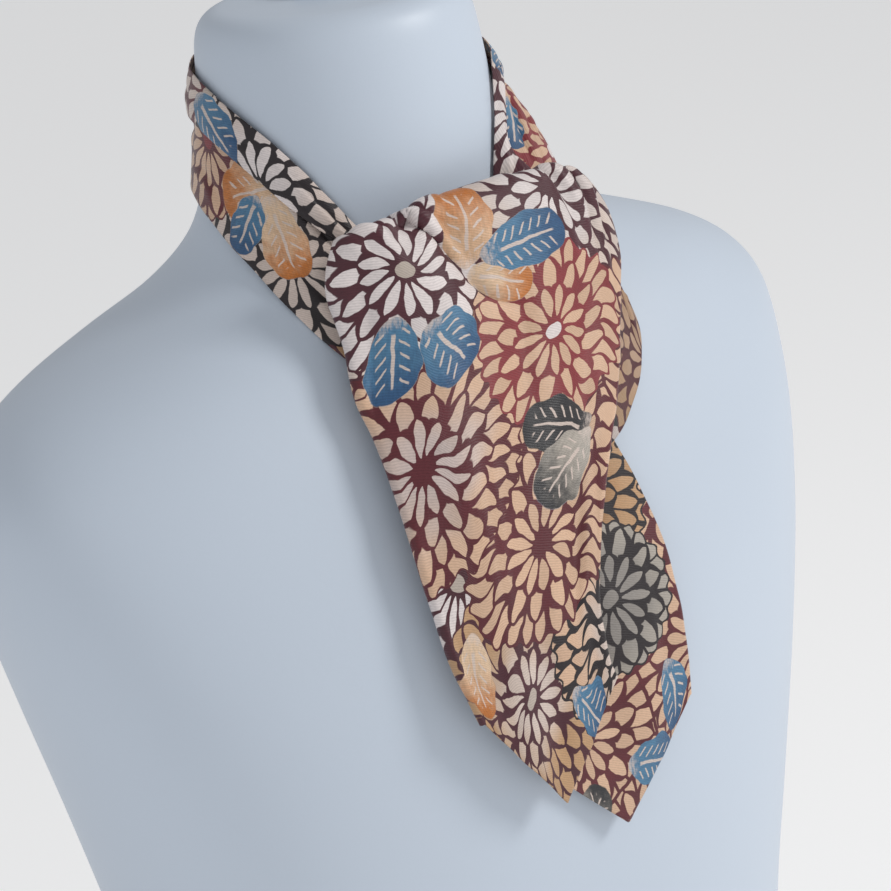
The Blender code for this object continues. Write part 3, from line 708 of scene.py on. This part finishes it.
crossing = {
    "along": 170, "down": 70, "wall": 1.4,
    "rows": (  # upper edge, belly and lower edge: side, level, reach of each
        (41, 554, 60.5, 62.5, 532, 62.0, 73, 505, 71.8), (43, 552, 64.6, 67, 521, 68.3, 71.7, 492, 79.3),
        (40, 552, 68.6, 62.5, 512, 73.6, 65, 480, 86.5), (34, 552, 72.0, 51.5, 507.5, 80.0, 53, 470, 94.0),
        (22, 552, 73.5, 35, 505, 87.0, 36, 461, 101.3), (5, 551.5, 74.5, 12, 504.5, 89.0, 13, 456.5, 105.3),
        (-12, 551, 74.0, -14, 507, 87.5, -16, 460, 104.3), (-26, 549, 71.0, -32, 512, 82.5, -36, 471, 98.5),
        (-35, 546, 68.5, -43, 517, 76.5, -47, 485, 90.5), (-43, 543, 65.5, -50, 522, 71.5, -54, 499, 80.5),
    ),
    "creases": (
        (-70, 24, -62, 46, -54, 72, 3.2, -1.1, 0.7, "start"), (-58, 8, -49, 36, -34, 66, 3.6, -1.0, 0.6, "none"),
        (-40, 30, -32, 56, -20, 84, 3.0, -0.9, 0.6, "none"), (-26, 6, -18, 40, -8, 78, 4.2, -0.8, 0.4, "none"),
        (4, 20, 8, 50, 2, 84, 4.0, -0.7, 0.4, "none"), (26, 8, 30, 36, 40, 62, 3.4, -0.9, 0.5, "none"),
        (44, 30, 50, 48, 62, 64, 2.6, -0.9, 0.6, "start"),
    ),
}
bladeNames = ("height", "left", "right", "bow", "reach", "leftHeight", "leftReach", "rightHeight", "rightReach")
backBlade = {
    "across": 80, "along": 130, "wall": 1.4, "turn": (1.2, 1.0), "coarse": 18, "ridge": 0,
    "rows": (
        (500, -31, 26, 2.0, 84.8, 500, 84.8, 500, 84.8), (485, -35, 31, 2.0, 91.0, 485, 90.6, 485, 90.6),
        (465, -38, 37, 2.0, 98.0, 465, 97.4, 465, 97.0), (440, -38, 43, 2.0, 106.6, 440, 106.2, 440, 105.0),
        (415, -36, 46, 1.8, 113.4, 415, 113.0, 417, 112.0), (390, -34, 46, 1.5, 118.4, 392, 118.0, 395, 116.8),
        (365, -33, 45, 1.2, 120.8, 373, 120.4, 378, 119.2), (342, -32, 44, 1.0, 121.4, 360, 121.0, 365, 120.2),
        (316, -31.5, 43.5, 1.0, 120.8, 353, 121.0, 357, 120.4),
    ),
    "folds": (  # across, along, to across, to along, width, depth, fade
        (0.45, 0.20, 0.42, 0.85, 0.24, 1.6, 0.2), (-0.30, 0.15, -0.10, 0.70, 0.24, -1.2, 0.2),
    ),
    "creases": (
        (14, 4, 18, 60, 16, 120, 5.0, -0.9, 0.6, "start"), (-14, 20, -18, 70, -12, 130, 6.0, -0.7, 0.4, "none"),
        (30, 70, 32, 100, 26, 140, 3.6, -0.7, 0.5, "none"),
    ),
}
frontBlade = {
    "across": 150, "along": 264, "wall": 1.4, "turn": (2.2, 1.5), "coarse": 40, "ridge": 3,
    "rows": (
        (548, -30, 24, 2.0, 69.5, 546, 67.0, 547, 69.0), (557, -38, 33, 3.0, 70.4, 553, 67.0, 555, 70.5),
        (564.5, -45, 45, 4.5, 72.4, 557, 67.0, 558.5, 72.0), (568, -52, 57, 6.0, 77.0, 560, 68.5, 558.5, 73.0),
        (565.5, -56, 62.5, 4.8, 82.0, 555.5, 69.4, 552, 73.5),
        (557.5, -58, 66, 3.8, 86.2, 550, 70.2, 544.5, 75.0),
        (546, -59.5, 67.2, 3.2, 89.6, 542.5, 71.8, 535, 77.0),
        (531.5, -59, 65, 2.9, 93.0, 533, 74.2, 524.5, 81.5),
        (516.5, -59, 59.2, 2.7, 96.6, 523, 77.8, 513.5, 86.5),
        (501.5, -61, 52.4, 2.5, 101.0, 511.5, 82.8, 502, 92.5),
        (486.5, -62, 44, 2.5, 106.0, 498.5, 89.5, 489.5, 100.0),
        (471, -61.5, 34.2, 2.4, 111.0, 484.5, 96.0, 475, 107.0),
        (455.5, -61.5, 25.5, 2.3, 115.0, 470, 102.0, 460.5, 111.4),
        (440, -62, 18.2, 2.2, 118.4, 455, 108.0, 446, 115.0),
        (422, -62, 11.6, 2.0, 121.6, 438, 113.5, 429.5, 118.6),
        (402, -61.5, 5.5, 1.7, 124.4, 421, 118.0, 412.5, 122.0),
        (381, -60, 3, 1.4, 126.6, 404.5, 121.5, 397.5, 124.6),
        (359, -58, 3, 1.15, 127.9, 391, 123.8, 386.5, 126.2),
        (338, -56, 5, 1.0, 128.2, 381.5, 125.0, 379, 127.0),
    ),
    "folds": (
        (-0.56, 0.15, -0.53, 0.21, 0.09, -2.8, 0.07), (-0.52, 0.23, -0.32, 0.28, 0.09, -2.6, 0.05),
        (-0.30, 0.28, -0.20, 0.36, 0.10, -2.8, 0.07), (-0.18, 0.37, 0.10, 0.45, 0.12, -2.4, 0.08),
        (-0.34, 0.23, -0.08, 0.31, 0.14, 2.2, 0.06), (0.60, 0.14, 0.66, 0.21, 0.10, -2.6, 0.07),
        (0.82, 0.13, 0.84, 0.20, 0.12, 2.2, 0.07), (0.62, 0.42, 0.66, 0.80, 0.22, -2.2, 0.16),
        (-0.55, 0.50, -0.35, 0.86, 0.26, 1.8, 0.18), (0.10, 0.55, 0.05, 0.92, 0.22, -1.8, 0.18),
    ),
    "creases": (
        # the swag from the notch, where the turned cloth laps over itself
        (-12, 40, -24.5, 17, -34, -6, 1.8, -2.9, 1.5, "end"), (10, 51, -5, 45, -15, 34, 2.4, -1.9, 1.0, "none"),
        (-50, -9, -42, -2, -37, 8, 5.5, -1.9, 0.0, "none"), (-36, -8, -35, 0, -33, 7, 2.2, -1.2, 0.0, "none"),
        # the turnover rounds away at the wearer's left
        (40, -9, 50, 1, 55, 13, 6.5, -2.6, 0.0, "none"),
        # short gathers along the turnover
        (-47, -4, -43.5, 7, -38, 17, 1.7, -1.0, 0.6, "start"), (-55, 0, -51, 11, -44, 24, 2.2, -0.9, 0.5, "start"),
        (-27, -3, -24, 5, -17, 14, 1.5, -0.9, 0.5, "start"), (-12, -4, -12, 5, -6, 15, 2.0, -0.7, 0.4, "start"),
        (20, -3, 27, 14, 36, 32, 2.6, -0.8, 0.5, "start"), (34, -4, 39.5, 20, 43, 54, 2.8, -1.4, 0.9, "start"),
        (44, -3, 50, 22, 50.5, 56, 2.3, -1.9, 1.1, "start"), (54, 2, 57.5, 26, 56, 58, 1.9, -1.6, 1.0, "start"),
        # long soft folds down the fall
        (-62, 16, -58, 48, -61, 88, 3.4, -0.9, 0.5, "none"), (-24, 58, -14, 98, -10, 146, 7.0, -0.7, 0.3, "none"),
        (4, 56, 28, 82, 41, 116, 6.0, -0.8, 0.4, "none"), (-52, 96, -42, 142, -32, 196, 5.0, -0.8, 0.5, "none"),
        (36, 104, 38, 150, 29, 206, 3.6, -1.1, 0.7, "none"), (2, 138, 8, 188, 2, 236, 6.0, -0.7, 0.4, "none"),
    ),
}


def curledPly(edge, inner, normal, radius, ease, hidden):
    # half a turn under the edge, then a flat run back below the cloth
    out = edge - inner
    out -= normal * (out * normal).sum(1, keepdims=True)
    out /= np.linalg.norm(out, axis=1, keepdims=True)
    rows = []
    for angle in np.linspace(18, 180, 10):
        outward, inward = math.sin(math.radians(angle)), 1 - math.cos(math.radians(angle))
        rows.append(edge + radius[:, None] * (out * outward - normal * inward))
    for share in (1 / 3, 2 / 3, 1):
        rows.append(rows[9] - out * hidden * share * ease[:, None])
    return np.array(rows)


def bandSection(row, down):
    angle, tuck, ridge, ridgeReach, low, lowReach = row
    turn = math.radians(angle)
    reaches = (neckReach(turn, tuck) + clothSizes["plyGap"], ridgeReach, lowReach)
    section = spline(list(zip((tuck, ridge, low), reaches)), np.linspace(0, 2, down))
    return [neckPoint(turn, level, reach) for level, reach in section]


def creased(points, creases, seed, startRow=0, lift=0.0, covered=0.0):
    # creases and a low swell pressed into the cloth, which stays flat where another ply covers it
    u, v = clothCoords(points, startRow)
    relief = creaseRelief(u, v, creases) + softSwell(u, v, seed)
    if covered:
        relief = np.minimum(relief, 0.05 + 0.3 * np.maximum(v - covered, 0))
    if lift:
        relief = np.maximum(relief + lift, 0)
    return points + normalsOf(points) * relief[..., None]


def makeNeckband():
    size = neckband
    points = np.array([bandSection(row, size["down"]) for row in roundNeck(size["rows"], size["around"])])
    return creased(points, size["creases"], 4, covered=size["covered"]), clothCoords(points)


def withFoldEdge(points, size):
    # the pleat's lower edge rolls under and runs back a little way
    edge, normal = points[:, -1], normalsOf(points)[:, -1]
    places = np.arange(len(edge))
    ease = np.clip(np.minimum(places, places[::-1]) / 30, 0.1, 1)  # the ply narrows at both ends
    curl = curledPly(edge, points[:, -2], normal, size["curl"] * ease, ease, size["hidden"])
    return np.concatenate((points, curl.transpose(1, 0, 2)), axis=1)


def makePleat():
    size = neckbandPleat
    angles = np.array([row[0] for row in neckband["rows"]])
    points = np.zeros((size["around"], size["down"], 3))
    for i, (angle, top, foldAngle, fold) in enumerate(roundNeck(size["rows"], size["around"])):
        spot = np.interp(-foldAngle, -angles, np.arange(len(angles)))
        section = np.array(bandSection(spline(neckband["rows"], [spot])[0], 25))
        reaches = np.hypot(section[:, 0], section[:, 1] - [formAt(z)[3] for z in section[:, 2]])
        levels, reaches = section[::-1, 2], reaches[::-1]
        slant = math.hypot(1, np.interp(fold, levels, np.gradient(reaches, levels)))
        foldReach = np.interp(fold, levels, reaches) + (neckband["wall"] + clothSizes["plyGap"]) * slant
        topReach = neckReach(math.radians(angle), top) + clothSizes["plyGap"]
        for j, share in enumerate(np.linspace(0, 1, size["down"])):
            reach = topReach + (foldReach - topReach) * math.sin(share * math.pi / 2)
            turn = math.radians(angle + (foldAngle - angle) * share)
            points[i, j] = neckPoint(turn, top + (fold - top) * share, reach)
    folded = creased(points, size["creases"], 9, lift=size["lift"])
    folded += normalsOf(points) * (size["wall"] - size["shell"])
    return withFoldEdge(folded, size), clothCoords(withFoldEdge(points, size))


def makeCrossing():
    size = crossing
    table = spline(size["rows"], np.linspace(0, len(size["rows"]) - 1, size["along"]))
    points = np.array([spline(s, np.linspace(0, 2, size["down"])) for s in table.reshape(-1, 3, 3)])
    side, level, reach = np.moveaxis(points, 2, 0)
    points = np.stack((side, -reach, level), axis=2)
    return creased(points, size["creases"], 15), clothCoords(points)


def foldRelief(across, along, folds):
    total = np.zeros_like(across)
    for a, b, toA, toB, width, depth, fade in folds:
        start, run = np.array((a, b)), np.array((toA - a, toB - b))
        offset = np.stack((across, along), axis=-1) - start
        gap = offset - np.clip((offset @ run) / (run @ run), 0, 1)[..., None] * run
        total += depth * np.exp(-((gap[..., 0] / width) ** 2) - (gap[..., 1] / fade) ** 2)
    return total


def bladeFace(size):
    # the hanging face of a blade before its sides are turned under
    rows, across, along = size["rows"], size["across"], size["along"]
    table = spline(rows, np.linspace(0, len(rows) - 1, along))
    flat = np.linspace(-1, 1, across)
    points = np.zeros((across, along, 3))
    for j, row in enumerate(table):
        at = dict(zip(bladeNames, row))
        bow = np.abs(flat) ** at["bow"]
        swell = np.abs(flat) ** max(at["bow"], 2.0)
        edgeHeight = np.where(flat < 0, at["leftHeight"], at["rightHeight"])
        edgeReach = np.where(flat < 0, at["leftReach"], at["rightReach"])
        middle, half = (at["left"] + at["right"]) / 2, (at["right"] - at["left"]) / 2
        points[:, j, 0] = middle + half * flat
        points[:, j, 1] = -(at["reach"] + (edgeReach - at["reach"]) * swell)
        points[:, j, 2] = at["height"] + (edgeHeight - at["height"]) * bow
    spots = np.meshgrid(flat, np.linspace(0, 1, along), indexing="ij")
    return points + normalsOf(points) * foldRelief(*spots, size["folds"])[..., None]


def turnedSides(face, size):
    # both sides curl under the cloth, less so towards the ends
    normal, length = normalsOf(face), face.shape[1]
    spots = np.linspace(0, size["coarse"] - 1, length)
    ease = np.clip(np.minimum((spots - 6) / 8, (size["coarse"] - 1 - spots) / 5), 0.06, 1)
    radius = np.linspace(*size["turn"], length) * ease
    left = curledPly(face[0], face[1], normal[0], radius, ease, 6.0)
    right = curledPly(face[-1], face[-2], normal[-1], radius, ease, 6.0)
    return np.concatenate((left[::-1], face, right)), len(left)


def makeBlade(size, seed):
    face = bladeFace(size)
    ridge = round(size["ridge"] / (len(size["rows"]) - 1) * (size["along"] - 1))
    smooth, extra = turnedSides(face, size)
    points = turnedSides(creased(face, size["creases"], seed, ridge), size)[0]
    return points, clothCoords(smooth, ridge, startColumn=extra + size["across"] // 2)


print("form")
form = {"segments": 128, "levels": 120}


def makeForm(size):
    # the same table as the solid's, read more finely: `square` over 2 squares the section's corners
    bm = bmesh.new()
    loops = []
    table = spline(formTable, np.linspace(0, len(formTable) - 1, size["levels"]))
    for k, (level, half, front, back, lean, square) in enumerate(table):
        ring = bmesh.ops.create_circle(bm, cap_ends=k in (0, size["levels"] - 1), radius=1, segments=size["segments"])
        for i, vertex in enumerate(ring["verts"]):
            side, ahead = math.sin(2 * math.pi * i / size["segments"]), math.cos(2 * math.pi * i / size["segments"])
            depth = -front if ahead > 0 else back
            vertex.co = Vector((half * math.copysign(abs(side) ** (2 / square), side),
                                depth * abs(ahead) ** (2 / square) + lean, level)) * mm
        loops.append(list({edge for vertex in ring["verts"] for edge in vertex.link_edges}))
    for lower, upper in zip(loops, loops[1:]):
        bmesh.ops.bridge_loops(bm, edges=lower + upper)
    bmesh.ops.remove_doubles(bm, verts=bm.verts, dist=1e-6)
    bmesh.ops.recalc_face_normals(bm, faces=bm.faces)
    mesh = bpy.data.meshes.new("formBody")
    bm.to_mesh(mesh)
    bm.free()
    mesh.shade_smooth()
    mesh.set_sharp_from_angle(angle=math.radians(50))
    made = bpy.data.objects.new("formBody", mesh)
    bpy.context.scene.collection.objects.link(made)
    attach(made, "root")
    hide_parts("form_body")
    return made


satin = formMaterial("satinForm", (0.565, 0.635, 0.73))
makeForm(form).data.materials.append(satin)
knob = bpy.data.objects["form_knob"]
knob.data.materials.clear()
knob.data.materials.append(satin)

print("cloth pieces")
bandPiece = clothPiece("neckbandCloth", *makeNeckband(), neckband["wall"], silkMaterial("silkNeckband", "band"))
pleatPiece = clothPiece("neckbandPleatCloth", *makePleat(), neckbandPleat["shell"],
                        silkMaterial("silkPleat", "pleat"), neckbandPleat["shell"])
# the crossing's colour is scaled to 0.74: painted shade, where it lies in shadow beside the blade
crossingPiece = clothPiece("crossingCloth", *makeCrossing(), crossing["wall"],
                           silkMaterial("silkCrossing", "crossing", 0.74))
backPiece = clothPiece("backBladeCloth", *makeBlade(backBlade, 21), backBlade["wall"],
                       silkMaterial("silkBackBlade", "back"))
frontPiece = clothPiece("frontBladeCloth", *makeBlade(frontBlade, 33), frontBlade["wall"],
                        silkMaterial("silkFrontBlade", "front"))
for piece, node in ((bandPiece, "neckband"), (pleatPiece, "neckband_pleat"), (crossingPiece, "crossing"),
                    (backPiece, "back_blade"), (frontPiece, "front_blade")):
    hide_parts(node)

print("studio")
studio = {"sky": 0.48, "backdrop": 0.9, "key": 24, "fill": 2.4, "floor": (0.93, 0.93, 0.93), "floorGlow": 0.22}
bm = bmesh.new()
bmesh.ops.create_grid(bm, x_segments=2, y_segments=2, size=6.0)
floorData = bpy.data.meshes.new("floor")
bm.to_mesh(floorData)
bm.free()
floor = bpy.data.objects.new("floor", floorData)
bpy.context.scene.collection.objects.link(floor)
floorLook = bpy.data.materials.new("paleFloor")
floorLook.use_nodes = True
floorLook.node_tree.nodes["Principled BSDF"].inputs["Base Color"].default_value = (*studio["floor"], 1)
floorLook.node_tree.nodes["Principled BSDF"].inputs["Roughness"].default_value = 0.9
floorLook.node_tree.nodes["Principled BSDF"].inputs["Emission Color"].default_value = (1, 1, 1, 1)
floorLook.node_tree.nodes["Principled BSDF"].inputs["Emission Strength"].default_value = studio["floorGlow"]
floorData.materials.append(floorLook)

world = bpy.data.worlds.new("studio")
world.use_nodes = True
world.node_tree.nodes["Background"].inputs["Color"].default_value = (0.97, 0.98, 1.0, 1)
seen = world.node_tree.nodes.new("ShaderNodeLightPath").outputs["Is Camera Ray"]
glow = calc(world.node_tree, "MULTIPLY_ADD", seen, studio["backdrop"] - studio["sky"], studio["sky"])
wire(world.node_tree, world.node_tree.nodes["Background"].inputs["Strength"], glow)
bpy.context.scene.world = world
bpy.context.scene.view_settings.view_transform = "Standard"


def softLight(name, spot, aim, size, power, color):
    data = bpy.data.lights.new(name, "AREA")
    data.shape, data.size, data.energy, data.color = "DISK", size, power, color
    made = bpy.data.objects.new(name, data)
    bpy.context.scene.collection.objects.link(made)
    made.location = spot
    made.rotation_euler = (Vector(aim) - Vector(spot)).to_track_quat("-Z", "Y").to_euler()


softLight("keyLight", (1.3, -1.5, 1.6), (0, -0.05, 0.5), 0.7, studio["key"], (1.0, 0.985, 0.96))
softLight("fillLight", (-1.7, -0.7, 1.0), (0, 0, 0.5), 1.4, studio["fill"], (0.94, 0.97, 1.0))

camera = {"azimuth": -32.5, "elevation": 18.0, "roll": 8.5, "distance": 1.3,
          "focal": 3280 / 891 * 36, "target": (0, -0.040, 0.459)}
azimuth, elevation, roll = (math.radians(camera[k]) for k in ("azimuth", "elevation", "roll"))
back = Vector((math.sin(azimuth) * math.cos(elevation), -math.cos(azimuth) * math.cos(elevation), math.sin(elevation)))
right = (-back).cross(Vector((0, 0, 1))).normalized()
up = right.cross(-back)
rightTurned = math.cos(roll) * right - math.sin(roll) * up
upTurned = math.sin(roll) * right + math.cos(roll) * up
cameraData = bpy.data.cameras.new("camera")
cameraData.lens = camera["focal"]
cameraData.sensor_width = 36
cameraData.clip_start = 0.05
cameraObject = bpy.data.objects.new("camera", cameraData)
bpy.context.scene.collection.objects.link(cameraObject)
matrix = Matrix((rightTurned, upTurned, back)).transposed().to_4x4()
matrix.translation = Vector(camera["target"]) + back * camera["distance"]
cameraObject.matrix_world = matrix
bpy.context.scene.camera = cameraObject

bpy.context.view_layer.update()
